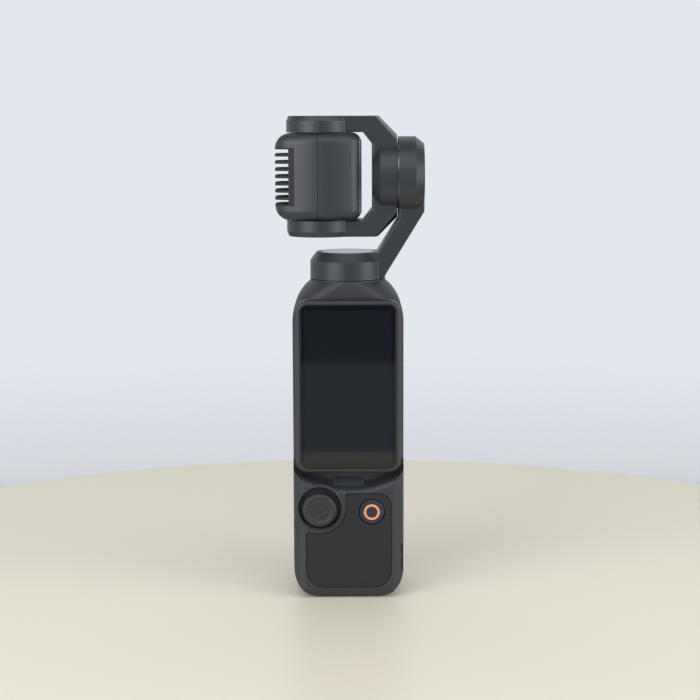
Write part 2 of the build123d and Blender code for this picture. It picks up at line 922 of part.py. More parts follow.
# Joystick: a base on the button board, a slider that is pressed, a cradle and a stem
stick_origin = (stick_x, stick_z)
slider_front = stick_floor_back - slider_clearance
slider_cell = slider_half + slider_clearance
stick_base_top = stick_z + slider_cell + stick_base_wall
trunnion_bore = trunnion_radius + trunnion_clearance
stem_front = stick_cap_back + stem_seat

with BuildPart() as joystick_base:
    with BuildSketch(front_plane(button_board_front)):
        with Locations(stick_origin):
            Rectangle(*[2 * (slider_cell + stick_base_wall)] * 2)
    extrude(amount=stick_floor_back - button_board_front)
    chamfer(joystick_base.faces().sort_by(Axis.Y)[0].edges(), low_cavity_front_corner)
    with BuildSketch(front_plane(button_board_front + stick_base_floor)):
        with Locations(stick_origin):
            Rectangle(2 * slider_cell, 2 * slider_cell)
    extrude(amount=stick_floor_back, mode=Mode.SUBTRACT)
save(joystick_base.part, "joystick_base")

with BuildPart() as joystick_slider:
    with BuildSketch(front_plane(slider_front)):
        with Locations(stick_origin):
            Rectangle(2 * slider_half, 2 * slider_half)
            Circle(slider_bore, mode=Mode.SUBTRACT)
    extrude(amount=-slider_depth)
    with BuildSketch(Plane.YZ.offset(stick_x - slider_half)):
        with Locations((-stick_pivot_front, stick_z)):
            Circle(trunnion_bore)
    extrude(amount=2 * slider_half, mode=Mode.SUBTRACT)
save(joystick_slider.part, "joystick_slider")

with BuildPart() as joystick_cradle:
    with BuildSketch(front_plane(stick_pivot_front - cradle_half_depth)):
        with Locations(stick_origin):
            Circle(cradle_outer)
    extrude(amount=2 * cradle_half_depth)
    with BuildSketch(Plane.YZ.offset(stick_x - slider_half + slider_clearance)):
        with Locations((-stick_pivot_front, stick_z)):
            Circle(trunnion_radius)
    extrude(amount=2 * (slider_half - slider_clearance))
    with BuildSketch(front_plane(stick_pivot_front - cradle_half_depth)):
        with Locations(stick_origin):
            Circle(cradle_inner)
    extrude(amount=2 * cradle_half_depth, mode=Mode.SUBTRACT)
    with BuildSketch(Plane.XY.offset(stick_z - cradle_outer)):
        with Locations((stick_x, -stick_pivot_front)):
            Circle(trunnion_bore)
    extrude(amount=2 * cradle_outer, mode=Mode.SUBTRACT)
save(joystick_cradle.part, "joystick_cradle")

with BuildPart() as joystick_stem:
    with BuildSketch(front_plane(stick_pivot_front - stem_tail)):
        with Locations(stick_origin):
            Circle(stem_radius)
    extrude(amount=stem_front - stick_pivot_front + stem_tail)
    trunnion_half = cradle_outer - trunnion_shy
    with BuildSketch(Plane.XY.offset(stick_z - trunnion_half)):
        with Locations((stick_x, -stick_pivot_front)):
            Circle(trunnion_radius)
    extrude(amount=2 * trunnion_half)
save(joystick_stem.part, "joystick_stem")

with BuildPart() as joystick_cap:
    stick_cap_widest = stick_cap_front - stick_cap_band
    for distance, radius in (
        (stick_cap_back, stick_cap_radius - stick_cap_taper),
        (stick_cap_widest, stick_cap_radius),
    ):
        with BuildSketch(front_plane(distance)):
            with Locations(stick_origin):
                Circle(radius)
    loft()
    with BuildSketch(front_plane(stick_cap_widest)):
        with Locations(stick_origin):
            Circle(stick_cap_radius)
    extrude(amount=stick_cap_band)
    fillet(joystick_cap.faces().sort_by(Axis.Y)[0].edges(), stick_cap_edge)
    # Shallow dish with a sloping wall
    for distance, radius in (
        (stick_cap_front, stick_dish_radius),
        (stick_cap_front - stick_dish, stick_dish_radius - stick_dish_slope),
    ):
        with BuildSketch(front_plane(distance)):
            with Locations(stick_origin):
                Circle(radius)
    loft(mode=Mode.SUBTRACT)
    with BuildSketch(front_plane(stick_cap_back)):
        with Locations(stick_origin):
            Circle(stem_radius)
    extrude(amount=stem_seat, mode=Mode.SUBTRACT)
save(joystick_cap.part, "joystick_cap")

# Record button and its switch
record_origin = (record_x, record_z)

with BuildPart() as record_button:
    with BuildSketch(front_plane(record_back)):
        with Locations(record_origin):
            Circle(record_radius)
    extrude(amount=record_cap_depth)
    chamfer(record_button.faces().sort_by(Axis.Y)[0].edges(), record_edge)
    with BuildSketch(front_plane(record_front - ring_depth + ring_proud)):
        with Locations(record_origin):
            Circle(ring_outer)
            Circle(ring_inner, mode=Mode.SUBTRACT)
    extrude(amount=ring_depth, mode=Mode.SUBTRACT)
    with BuildSketch(front_plane(record_stem_end)):
        with Locations(record_origin):
            Circle(record_stem)
    extrude(amount=record_back - record_stem_end)
    with BuildSketch(front_plane(record_stem_end)):
        with Locations(record_origin):
            Circle(record_flange)
    extrude(amount=record_flange_depth)
save(record_button.part, "record_button")

with BuildPart() as record_ring:
    with BuildSketch(front_plane(record_front - ring_depth + ring_proud)):
        with Locations(record_origin):
            Circle(ring_outer)
            Circle(ring_inner, mode=Mode.SUBTRACT)
    extrude(amount=ring_depth)
save(record_ring.part, "record_ring")

with BuildPart() as record_switch:
    with BuildSketch(front_plane(button_board_front)):
        with Locations(record_origin):
            Rectangle(switch_side, switch_side)
    extrude(amount=switch_depth)
    with BuildSketch(front_plane(button_board_front)):
        with Locations(record_origin):
            Circle(plunger_radius)
    extrude(amount=plunger_front - button_board_front)
save(record_switch.part, "record_switch")

with BuildPart() as button_board:
    with BuildSketch(front_plane(board_back)):
        with Locations((0, button_board_bottom)):
            Rectangle(
                2 * (low_cavity_half - button_board_gap),
                stick_base_top - button_board_bottom,
                align=(Align.CENTER, Align.MIN),
            )
    extrude(amount=button_board_depth)
save(button_board.part, "button_board")

with BuildPart() as card_socket:
    with BuildSketch(Plane.YZ.offset(card_socket_gap - low_cavity_half)):
        with Locations((-card_slot_front, card_slot_bottom)):
            Rectangle(card_socket_thickness, card_socket_height, align=(Align.MIN, Align.MIN))
    extrude(amount=card_socket_length)
    with BuildSketch(Plane.YZ.offset(card_socket_gap - low_cavity_half)):
        with Locations(
            (
                card_mouth_width - card_slot_front,
                card_slot_bottom + card_socket_height / 2,
            )
        ):
            Rectangle(card_mouth_width, card_socket_height - 2 * port_wall)
    extrude(amount=card_socket_length - card_mouth_width, mode=Mode.SUBTRACT)
save(card_socket.part, "card_socket")

with BuildPart() as battery_cell:
    battery_back = cavity_back - battery_back_gap
    with BuildSketch(Plane.XY.offset(battery_bottom)) as battery_plan:
        with Locations((0, battery_back)):
            Rectangle(battery_width, battery_depth, align=(Align.CENTER, Align.MAX))
        fillet(battery_plan.vertices(), battery_corner)
    extrude(amount=battery_height)
save(battery_cell.part, "battery_cell")

mid_frame_height = high_screw_z - high_boss_radius - mid_frame_screw_gap - mid_frame_bottom

with BuildPart() as mid_frame:
    with BuildSketch(front_plane(mid_frame_front - mid_frame_depth)):
        with Locations((0, mid_frame_bottom)):
            Rectangle(
                2 * (cavity_half - mid_frame_gap),
                mid_frame_height,
                align=(Align.CENTER, Align.MIN),
            )
        with Locations(screen_origin):
            Circle(mid_frame_window, mode=Mode.SUBTRACT)
    extrude(amount=mid_frame_depth)
save(mid_frame.part, "mid_frame")

with BuildPart() as main_board:
    board_level = mid_frame_front - mid_frame_depth - main_board_depth
    with BuildSketch(front_plane(board_level)):
        with Locations((0, mid_frame_bottom)):
            Rectangle(
                2 * (cavity_half - main_board_gap),
                mid_frame_height,
                align=(Align.CENTER, Align.MIN),
            )
    extrude(amount=main_board_depth)
    with BuildSketch(front_plane(board_level)):
        with Locations((0, mid_frame_bottom + mid_frame_height / 2)):
            with GridLocations(1, chip_pitch, 1, 3):
                Rectangle(chip_side, chip_side)
    extrude(amount=-chip_height)
save(main_board.part, "main_board")

with BuildPart() as speaker:
    speaker_back = handle_back - low_back_wall
    with BuildSketch(Plane.XY.offset(speaker_bottom)):
        with Locations((0, speaker_back)):
            Rectangle(speaker_width, speaker_depth, align=(Align.CENTER, Align.MAX))
    extrude(amount=speaker_height)
save(speaker.part, "speaker")

# Pan motor: base, stator and bearings in the neck, rotor and shaft in the arm's foot
pan_stator_z = pan_bottom + end_gap
pan_hub_z = pan_cup_top - pan_hub_drop
pan_tube_top = pan_hub_z - end_gap
pan_stator_depth = pan_tube_top - pan_stator_z

with BuildPart() as pan_motor_base:
    with BuildSketch(Plane.XY.offset(motor_base_z)):
        Circle(neck_bore)
    extrude(amount=motor_base_depth)
    with BuildSketch(Plane.XY.offset(motor_base_z)):
        Circle(motor_tube)
    extrude(amount=pan_tube_top - motor_base_z)
    with BuildSketch(Plane.XY.offset(motor_base_z)):
        Circle(bearing_outer)
    extrude(amount=pan_tube_top - motor_base_z, mode=Mode.SUBTRACT)
save(pan_motor_base.part, "pan_motor_base")

bearing_inner = shaft_radius + bearing_clearance
save(
    stator(
        Plane.XY.offset(pan_stator_z),
        pan_cup_radius - rotor_loss,
        motor_tube,
        pan_stator_depth,
    ),
    "pan_motor_stator",
)

with BuildPart() as pan_bearings:
    for level in (motor_base_z, pan_tube_top - bearing_width):
        with BuildSketch(Plane.XY.offset(level)):
            Circle(bearing_outer)
            Circle(bearing_inner, mode=Mode.SUBTRACT)
        extrude(amount=bearing_width)
save(pan_bearings.part, "pan_bearings")

save(
    ring(
        Plane.XY.offset(pan_bottom + end_gap / 2),
        pan_cup_radius,
        pan_cup_radius - bell_wall,
        pan_cup_top - pan_bottom - end_gap / 2,
    ),
    "pan_motor_rotor",
)
save(
    magnet_ring(Plane.XY.offset(pan_stator_z), pan_cup_radius - bell_wall, pan_stator_depth),
    "pan_magnets",
)
pan_cover_floor = pan_top - cover_depth
save(
    disc(Plane.XY.offset(motor_base_z), shaft_radius, pan_cover_floor - motor_base_z),
    "pan_shaft",
)
save(disc(Plane.XY.offset(pan_cover_floor), pan_cover_radius, cover_depth), "pan_cover")

# Arm: straight bar first, then the round foot and the roll motor's housing on its ends
rise = 1 / tan(radians(arm_lean))
arm_inner_top = arm_inner_z + rise * (roll_seam_x - arm_inner_x)
arm_inner_foot = arm_inner_x - (arm_inner_z - pan_top) / rise
arm_outer_top = pan_bottom + rise * (roll_end_x - arm_outer_x)

with BuildPart() as arm_bar:
    with BuildSketch(Plane.XZ.offset(-arm_half_depth)):
        Polygon(
            (0, pan_top),
            (arm_inner_foot, pan_top),
            (roll_seam_x, arm_inner_top),
            (roll_seam_x, roll_z),
            (roll_end_x, roll_z),
            (roll_end_x, arm_outer_top),
            (arm_outer_x, pan_bottom),
            (0, pan_bottom),
            align=None,
        )
    extrude(amount=2 * arm_half_depth)
    fillet(arm_bar.faces().filter_by(Axis.Y).edges(), arm_edge)

with BuildPart() as pan_arm:
    add(
        webbed_disc(
            Plane.XY.offset(pan_bottom),
            pan_radius,
            pan_top - pan_bevel_depth - pan_bottom,
            pan_bevel_radius,
            pan_bevel_depth,
        )
    )
    with BuildSketch(Plane.XZ):
        Polygon(
            (roll_seam_x, roll_z),
            (roll_seam_x, roll_z + roll_radius),
            (roll_end_x - roll_bevel_depth, roll_z + roll_radius),
            (roll_end_x, roll_z + roll_bevel_radius),
            (roll_end_x, roll_z),
            align=None,
        )
    revolve(axis=roll_axis)
    add(arm_bar.part)
    # Cup, hub and cover recess of the foot
    with BuildSketch(Plane.XY.offset(pan_bottom)):
        Circle(pan_cup_radius)
    extrude(amount=pan_cup_top - pan_bottom, mode=Mode.SUBTRACT)
    with BuildSketch(Plane.XY.offset(pan_hub_z)):
        Circle(pan_hub_radius)
    extrude(amount=pan_cup_top - pan_hub_z)
    with BuildSketch(Plane.XY.offset(pan_hub_z)):
        Circle(shaft_radius)
    extrude(amount=pan_top - pan_hub_z, mode=Mode.SUBTRACT)
    with BuildSketch(Plane.XY.offset(pan_cover_floor)):
        Circle(pan_cover_radius)
    extrude(amount=cover_depth, mode=Mode.SUBTRACT)
    # Cup, bearing tube and cover recess of the roll housing
    with BuildSketch(across(roll_seam_x)):
        Circle(roll_cup_radius)
    extrude(amount=roll_cup_end - roll_seam_x, mode=Mode.SUBTRACT)
    with BuildSketch(across(roll_tube_x)):
        Circle(motor_tube)
        Circle(bearing_outer, mode=Mode.SUBTRACT)
    extrude(amount=roll_cup_end - roll_tube_x)
    with BuildSketch(across(roll_end_x - cover_depth)):
        Circle(roll_cover_radius)
    extrude(amount=cover_depth, mode=Mode.SUBTRACT)
save(pan_arm.part, "pan_arm")

save(disc(across(roll_end_x - cover_depth), roll_cover_radius, cover_depth), "roll_cover")

# Roll motor
roll_stator_x = roll_tube_x + end_gap
roll_stator_depth = roll_cup_end - end_gap - roll_stator_x
save(
    stator(across(roll_stator_x), roll_bell_radius - rotor_loss, motor_tube, roll_stator_depth),
    "roll_motor_stator",
)

with BuildPart() as roll_bearings:
    for level in (roll_tube_x, roll_cup_end - bearing_width):
        with BuildSketch(across(level)):
            Circle(bearing_outer)
            Circle(bearing_inner, mode=Mode.SUBTRACT)
        extrude(amount=bearing_width)
save(roll_bearings.part, "roll_bearings")

roll_bell_hub = end_gap / 2
roll_bell_depth = roll_cup_end - end_gap - yoke_right_x - roll_bell_hub
save(
    bell(
        across(yoke_right_x), roll_bell_radius, roll_bell_depth, roll_hub_radius, roll_bell_hub
    ),
    "roll_motor_rotor",
)
save(
    magnet_ring(across(roll_stator_x), roll_bell_radius - bell_wall, roll_stator_depth),
    "roll_magnets",
)
save(
    disc(
        across(yoke_right_x - roll_shaft_seat),
        shaft_radius,
        roll_cup_end - yoke_right_x + roll_shaft_seat - shaft_end_gap,
    ),
    "roll_shaft",
)

# Tilt frame: a bar bent into a C, cut to a cone round the roll axis, with two discs and a drum
cone_slope = (yoke_half_outer - yoke_cone_end) / (yoke_right_x - yoke_cone_x)
cone_reach = 2 * yoke_half_outer
cone_start_x = yoke_cone_x - (cone_reach - yoke_half_outer) / cone_slope
yoke_left_x = tilt_x - disc_radius

with BuildPart() as yoke_bar:
    with BuildSketch(Plane.XZ.offset(-arm_half_depth)):
        Polygon(
            (tilt_x, yoke_top),
            (yoke_cone_x, yoke_top),
            (yoke_right_x, roll_z + yoke_cone_end),
            (yoke_right_x, roll_z - yoke_cone_end),
            (yoke_cone_x, yoke_bottom),
            (tilt_x, yoke_bottom),
            (tilt_x, yoke_bottom_inner),
            (yoke_bevel_x, yoke_bottom_inner),
            (yoke_web_x, roll_z - yoke_bevel_half),
            (yoke_web_x, roll_z + yoke_bevel_half),
            (yoke_bevel_x, yoke_top_inner),
            (tilt_x, yoke_top_inner),
            align=None,
        )
    extrude(amount=2 * arm_half_depth)
    fillet(yoke_bar.faces().filter_by(Axis.Y).edges(), arm_edge)
    with BuildSketch(Plane.XZ):
        Polygon(
            (yoke_left_x, roll_z),
            (yoke_left_x, roll_z + cone_reach),
            (cone_start_x, roll_z + cone_reach),
            (yoke_right_x, roll_z + yoke_cone_end),
            (yoke_right_x, roll_z),
            align=None,
        )
    revolve(axis=roll_axis, mode=Mode.INTERSECT)


def tilt_disc(level, facing):
    """One of the yoke's two discs, tapered towards its outer face."""
    return webbed_disc(
        Plane(origin=(tilt_x, 0, level), x_dir=(1, 0, 0), z_dir=(0, 0, facing)),
        disc_radius,
        disc_depth - disc_bevel_depth,
        disc_radius - disc_bevel,
        disc_bevel_depth,
    )


with BuildPart() as yoke:
    add(yoke_bar.part)
    add(tilt_disc(yoke_top_inner, 1))
    add(tilt_disc(yoke_bottom_inner, -1))
    with BuildSketch(Plane.XZ):
        Polygon(
            (yoke_web_x, roll_z),
            (yoke_web_x, roll_z + drum_face_radius),
            (drum_bevel_x, roll_z + drum_radius),
            (yoke_right_x, roll_z + drum_radius),
            (yoke_right_x, roll_z),
            align=None,
        )
    revolve(axis=roll_axis)
    with BuildSketch(across(yoke_right_x)):
        Circle(shaft_radius)
    extrude(amount=-roll_shaft_seat, mode=Mode.SUBTRACT)
    # Upper disc: room for the tilt motor below, recess for its cover above
    for level, radius, depth in (
        (yoke_top_inner, tilt_bore, tilt_bore_top - yoke_top_inner),
        (yoke_top - thin_cover_depth, tilt_cover_radius, thin_cover_depth),
        (yoke_bottom, tilt_cover_radius, thin_cover_depth),
        (lower_seat_z, lower_seat_radius, yoke_bottom_inner - lower_seat_z),
    ):
        with BuildSketch(Plane.XY.offset(level)):
            with Locations((tilt_x, 0)):
                Circle(radius)
        extrude(amount=depth, mode=Mode.SUBTRACT)
save(yoke.part, "yoke")


def tilt_plane(level):
    """Level plane centred on the tilt axis."""
    return Plane((tilt_x, 0, level))


save(
    disc(tilt_plane(yoke_top - thin_cover_depth), tilt_cover_radius, thin_cover_depth),
    "tilt_cover_upper",
)
save(disc(tilt_plane(yoke_bottom), tilt_cover_radius, thin_cover_depth), "tilt_cover_lower")

# Tilt motor in the upper disc, plain bearing in the lower one
tilt_bell_hub = yoke_top_inner - camera_top + tilt_bell_rise
tilt_bell_top = tilt_bore_top - end_gap
tilt_stator_z = camera_top + tilt_bell_hub + bell_base + end_gap
save(
    bell(
        tilt_plane(camera_top),
        tilt_bell_radius,
        tilt_bell_top - camera_top - tilt_bell_hub,
        tilt_hub_radius,
        tilt_bell_hub,
    ),
    "tilt_motor_rotor",
)
save(
    magnet_ring(
        tilt_plane(camera_top + tilt_bell_hub + bell_base),
        tilt_bell_radius - bell_wall,
        tilt_bell_top - camera_top - tilt_bell_hub - bell_base,
    ),
    "tilt_magnets",
)
save(
    stator(
        tilt_plane(tilt_stator_z),
        tilt_bell_radius - rotor_loss,
        bearing_outer,
        tilt_stator_depth,
    ),
    "tilt_motor_stator",
)
with BuildPart() as tilt_pins:
    for level in (camera_top - tilt_pin_seat, lower_seat_z + shaft_end_gap):
        with BuildSketch(tilt_plane(level)):
            Circle(shaft_radius)
        extrude(amount=tilt_pin_length)
save(tilt_pins.part, "tilt_pivot_pins")

with BuildPart() as tilt_bearings:
    for level, outer, depth in (
        (tilt_stator_z, bearing_outer, tilt_stator_depth),
        (lower_seat_z, lower_seat_radius, yoke_bottom_inner - lower_seat_z),
    ):
        with BuildSketch(tilt_plane(level)):
            Circle(outer)
            Circle(bearing_inner, mode=Mode.SUBTRACT)
        extrude(amount=depth)
save(tilt_bearings.part, "tilt_bearings")

# Camera head: one rounded block, cut across into glass, bezel, front and rear housing


def camera_side(x):
    """Half depth of the camera's bulging side at x."""
    return camera_half_depth - camera_side_arc + sqrt(camera_side_arc**2 - (x - camera_belly_x) ** 2)


with BuildPart() as camera_block:
    with BuildSketch(Plane.XY.offset(camera_bottom)) as camera_plan:
        with BuildLine():
            front_y = camera_side(camera_front_x)
            back_y = camera_side(camera_back_x)
            for side in (-1, 1):
                ThreePointArc(
                    (camera_front_x, side * front_y),
                    (camera_belly_x, side * camera_half_depth),
                    (camera_back_x, side * back_y),
                )
            Line((camera_front_x, -front_y), (camera_front_x, front_y))
            Line((camera_back_x, -back_y), (camera_back_x, back_y))
        make_face()
        fillet(camera_plan.vertices().group_by(Axis.X)[-1], camera_front_corner)
        fillet(camera_plan.vertices().group_by(Axis.X)[0], camera_back_corner)
    extrude(amount=2 * camera_half)
    fillet(camera_block.faces().filter_by(Axis.Z).edges(), camera_shoulder)
    with BuildSketch(Plane.XZ.offset(-camera_half_depth)) as camera_profile:
        with Locations((camera_front_x, roll_z)):
            Rectangle(
                camera_front_x - camera_back_x, 2 * camera_half, align=(Align.MAX, Align.CENTER)
            )
        fillet(camera_profile.vertices().group_by(Axis.X)[0], camera_back_round)
    extrude(amount=2 * camera_half_depth, mode=Mode.INTERSECT)

camera_screws_yz = [
    (y, z) for y in (-camera_screw_y, camera_screw_y) for z in (-camera_screw_z, camera_screw_z)
]
camera_screw_end = bezel_x - camera_screw_length


# Seats of the tilt pins, in the camera's top and bottom
with BuildPart() as pin_seats:
    for level in (camera_top - tilt_pin_seat, camera_bottom):
        with BuildSketch(tilt_plane(level)):
            Circle(shaft_radius)
        extrude(amount=tilt_pin_seat)

# Shallow band on both sides of the head, in which the fins stand back
with BuildPart() as fin_band:
    fin_field = (fin_count + 1) * fin_pitch
    with Locations((fin_band_x, 0, roll_z)):
        Box(
            fin_band_x - camera_back_x,
            2 * camera_half_depth,
            fin_field,
            align=(Align.MAX, Align.CENTER, Align.CENTER),
        )
    with BuildSketch(Plane.XY.offset(roll_z - fin_field / 2)):
        with Locations((camera_belly_x, camera_half_depth - camera_side_arc)):
            Circle(camera_side_arc - fin_band_depth)
        with Locations((camera_belly_x, camera_side_arc - camera_half_depth)):
            Circle(camera_side_arc - fin_band_depth, mode=Mode.INTERSECT)
    extrude(amount=fin_field, mode=Mode.SUBTRACT)

with BuildPart() as front_glass:
    add(camera_block.part)
    split(bisect_by=Plane.YZ.offset(glass_x), keep=Keep.TOP)
save(front_glass.part, "front_glass")

with BuildPart() as lens_bezel:
    add(camera_block.part)
    split(bisect_by=Plane.YZ.offset(glass_x), keep=Keep.BOTTOM)
    split(bisect_by=Plane.YZ.offset(bezel_x), keep=Keep.TOP)
    with BuildSketch(across(bezel_x)):
        Circle(lens_aperture)
    extrude(amount=bezel_slice, mode=Mode.SUBTRACT)
save(lens_bezel.part, "lens_bezel")

with BuildPart() as camera_front_housing:
    add(camera_block.part)
    split(bisect_by=Plane.YZ.offset(bezel_x), keep=Keep.BOTTOM)
    split(bisect_by=Plane.YZ.offset(camera_seam_x), keep=Keep.TOP)
    chamfer(camera_front_housing.faces().sort_by(Axis.X)[0].edges(), camera_seam_edge)
    with BuildSketch(across(camera_seam_x)):
        Circle(barrel_radius)
        with Locations(*camera_screws_yz):
            Circle(camera_screw_shank)
    extrude(amount=bezel_x - camera_seam_x, mode=Mode.SUBTRACT)
    with BuildSketch(across(camera_seam_x)):
        Rectangle(sensor_width + 2 * sensor_board_gap, sensor_height + 2 * sensor_board_gap)
    extrude(amount=barrel_back_x - camera_seam_x, mode=Mode.SUBTRACT)
    with BuildSketch(across(bezel_x - camera_screw_head_depth)):
        with Locations(*camera_screws_yz):
            Circle(camera_screw_head)
    extrude(amount=camera_screw_head_depth, mode=Mode.SUBTRACT)
    add(pin_seats.part, mode=Mode.SUBTRACT)
save(camera_front_housing.part, "camera_front_housing")

with BuildPart() as camera_rear_housing:
    add(camera_block.part)
    split(bisect_by=Plane.YZ.offset(camera_seam_x), keep=Keep.BOTTOM)
    chamfer(camera_rear_housing.faces().sort_by(Axis.X)[-1].edges(), camera_seam_edge)
    with BuildSketch(across(camera_seam_x)):
        Rectangle(
            2 * (sensor_board_half_y + sensor_board_gap), 2 * (sensor_board_half_z + sensor_board_gap)
        )
    extrude(amount=slot_floor_x + camera_wall - camera_seam_x, mode=Mode.SUBTRACT)
    with BuildSketch(across(camera_seam_x)):
        with Locations(*camera_screws_yz):
            Circle(camera_screw_shank)
    extrude(amount=camera_screw_end - camera_seam_x, mode=Mode.SUBTRACT)
    add(pin_seats.part, mode=Mode.SUBTRACT)
    # Cooling fins, open on both sides
    with BuildSketch(Plane.XZ.offset(-camera_half_depth)):
        with Locations((slot_floor_x, roll_z)):
            with GridLocations(1, fin_pitch, 1, fin_count + 1):
                Rectangle(
                    2 * (slot_floor_x - camera_back_x),
                    fin_pitch - fin_thickness,
                    align=(Align.MAX, Align.CENTER),
                )
    extrude(amount=2 * camera_half_depth, mode=Mode.SUBTRACT)
    add(fin_band.part, mode=Mode.SUBTRACT)
save(camera_rear_housing.part, "camera_rear_housing")

with BuildPart() as camera_screws:
    with BuildSketch(across(bezel_x - camera_screw_head_depth)):
        with Locations(*camera_screws_yz):
            Circle(camera_screw_head)
    extrude(amount=camera_screw_head_depth)
    with BuildSketch(across(camera_screw_end)):
        with Locations(*camera_screws_yz):
            Circle(camera_screw_shank)
    extrude(amount=camera_screw_length - camera_screw_head_depth)
save(camera_screws.part, "camera_screws")

with BuildPart() as lens_barrel:
    with BuildSketch(across(barrel_back_x)):
        Circle(barrel_radius)
        Circle(barrel_bore, mode=Mode.SUBTRACT)
    extrude(amount=bezel_x - barrel_back_x)
    with BuildSketch(across(bezel_x - barrel_lip)):
        Circle(barrel_radius)
        Circle(lens_aperture, mode=Mode.SUBTRACT)
    extrude(amount=barrel_lip)
save(lens_barrel.part, "lens_barrel")

with BuildPart() as lens_elements:
    with BuildSketch(Plane.XZ):
        with BuildLine():
            bulge = front_lens_curve - sqrt(front_lens_curve**2 - barrel_bore**2)
            apex_x = bezel_x - barrel_lip
            edge_x = apex_x - bulge
            RadiusArc((edge_x, roll_z + barrel_bore), (apex_x, roll_z), front_lens_curve)
            Polyline(
                (apex_x, roll_z),
                (edge_x - front_lens_edge, roll_z),
                (edge_x - front_lens_edge, roll_z + barrel_bore),
                (edge_x, roll_z + barrel_bore),
            )
        make_face()
    revolve(axis=roll_axis)
    with BuildSketch(across(mid_lens_x)):
        Circle(barrel_bore)
    extrude(amount=mid_lens_depth)
save(lens_elements.part, "lens_elements")

save(
    disc(across(focus_lens_x), barrel_bore - focus_clearance, focus_lens_depth),
    "focus_lens",
)

with BuildPart() as sensor_board:
    with BuildSketch(across(sensor_board_x - sensor_board_thickness)):
        Rectangle(2 * sensor_board_half_y, 2 * sensor_board_half_z)
    extrude(amount=sensor_board_thickness)
    with BuildSketch(across(sensor_board_x)):
        Rectangle(sensor_width, sensor_height)
    extrude(amount=sensor_thickness)
save(sensor_board.part, "sensor_board")
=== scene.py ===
import math

import bmesh
import bpy
from mathutils import Matrix, Vector


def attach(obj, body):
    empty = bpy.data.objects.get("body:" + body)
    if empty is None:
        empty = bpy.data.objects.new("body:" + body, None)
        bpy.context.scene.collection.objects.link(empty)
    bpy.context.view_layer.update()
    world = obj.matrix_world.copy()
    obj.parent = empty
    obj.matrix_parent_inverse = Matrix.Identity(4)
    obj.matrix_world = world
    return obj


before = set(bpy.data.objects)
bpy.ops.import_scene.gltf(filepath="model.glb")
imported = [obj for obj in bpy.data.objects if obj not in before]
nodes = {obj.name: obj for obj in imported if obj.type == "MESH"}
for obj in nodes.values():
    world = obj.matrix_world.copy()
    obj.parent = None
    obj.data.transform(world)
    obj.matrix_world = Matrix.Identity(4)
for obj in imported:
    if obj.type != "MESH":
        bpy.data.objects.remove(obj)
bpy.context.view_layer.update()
MM = 0.001

# Round table that the camera stands on: a painted disc in a pale studio.
# Its front edge lies in reach of the screen's reflection.
TABLE_RADIUS = 205.5 * MM
TABLE_CENTRE_Y = -24.5 * MM
TABLE_THICKNESS = 4 * MM
TABLE_SEGMENTS = 256
TABLE_COLOUR = (0.79, 0.735, 0.595)


class Wire:
    """A shader socket. Arithmetic on it adds Math nodes, and node() adds any other node."""

    def __init__(self, tree, socket=None):
        self.tree = tree
        self.socket = socket

    def node(self, kind, settings, inputs, output=0):
        made = self.tree.nodes.new(kind)
        for name, value in settings.items():
            if name != "stops":
                setattr(made, name, value)
                continue
            stops = made.color_ramp.elements
            while len(stops) < len(value):
                stops.new(1.0)
            for stop, (position, colour) in zip(stops, value):
                stop.position = position
                stop.color = (*colour, 1.0)
        for key, value in inputs.items():
            if isinstance(value, Wire):
                self.tree.links.new(value.socket, made.inputs[key])
            else:
                made.inputs[key].default_value = value
        return Wire(self.tree, made.outputs[output])

    def math(self, operation, first, second):
        return self.node("ShaderNodeMath", {"operation": operation}, {0: first, 1: second})

    def __add__(self, other):
        return self.math("ADD", self, other)

    def __sub__(self, other):
        return self.math("SUBTRACT", self, other)

    def __rsub__(self, other):
        return self.math("SUBTRACT", other, self)

    def __mul__(self, other):
        return self.math("MULTIPLY", self, other)

    def absolute(self):
        return self.math("ABSOLUTE", self, 0.0)

    def at_least(self, least):
        return self.math("MAXIMUM", self, least)

    def radius(self, other):
        """Distance from the middle, where this and the other are the two coordinates."""
        return self.math("POWER", self * self + other * other, 0.5)

    def between(self, low, high):
        """Straight run from low to high as this value runs from 0 to 1."""
        return self * (high - low) + low

    def mixed(self, other, share):
        """This value with a share of the other in it."""
        return self * (1.0 - share) + other * share

    def step(self, start, end):
        """Smooth rise from 0 at start to 1 at end."""
        return self.node(
            "ShaderNodeMapRange",
            {"interpolation_type": "SMOOTHSTEP"},
            {"Value": self, "From Min": start, "From Max": end},
        )

    def noise(self, place, scale, detail=2.0):
        """Cloudy pattern from 0 to 1."""
        return self.node(
            "ShaderNodeTexNoise", {}, {"Vector": place, "Scale": scale, "Detail": detail}
        )

    def blend(self, first, second):
        """Colour that runs from first to second as this value runs from 0 to 1."""
        ends = [end if isinstance(end, Wire) else (*end, 1.0) for end in (first, second)]
        return self.node(
            "ShaderNodeMix", {"data_type": "RGBA"}, {0: self, 6: ends[0], 7: ends[1]}, 2
        )

    def bump(self, strength, depth):
        """Surface normal that this value dents."""
        return self.node(
            "ShaderNodeBump", {}, {"Height": self, "Strength": strength, "Distance": depth}
        )


def shade(colour, factor):
    """The same colour, darker or lighter."""
    return tuple(channel * factor for channel in colour)


def finish_material(name, build, **fixed):
    """Material whose varying sockets come from build(wire, place, parts), with the rest fixed."""
    material = bpy.data.materials.new(name)
    material.use_nodes = True
    tree = material.node_tree
    shader = tree.nodes["Principled BSDF"]
    for socket, value in fixed.items():
        shader.inputs[socket.replace("_", " ")].default_value = value
    wire = Wire(tree)
    place = wire.node("ShaderNodeTexCoord", {}, {}, "Object")
    parts = [
        wire.node("ShaderNodeSeparateXYZ", {}, {"Vector": place}, axis) for axis in range(3)
    ]
    for socket, value in build(wire, place, parts).items():
        tree.links.new(value.socket, shader.inputs[socket])
    return material


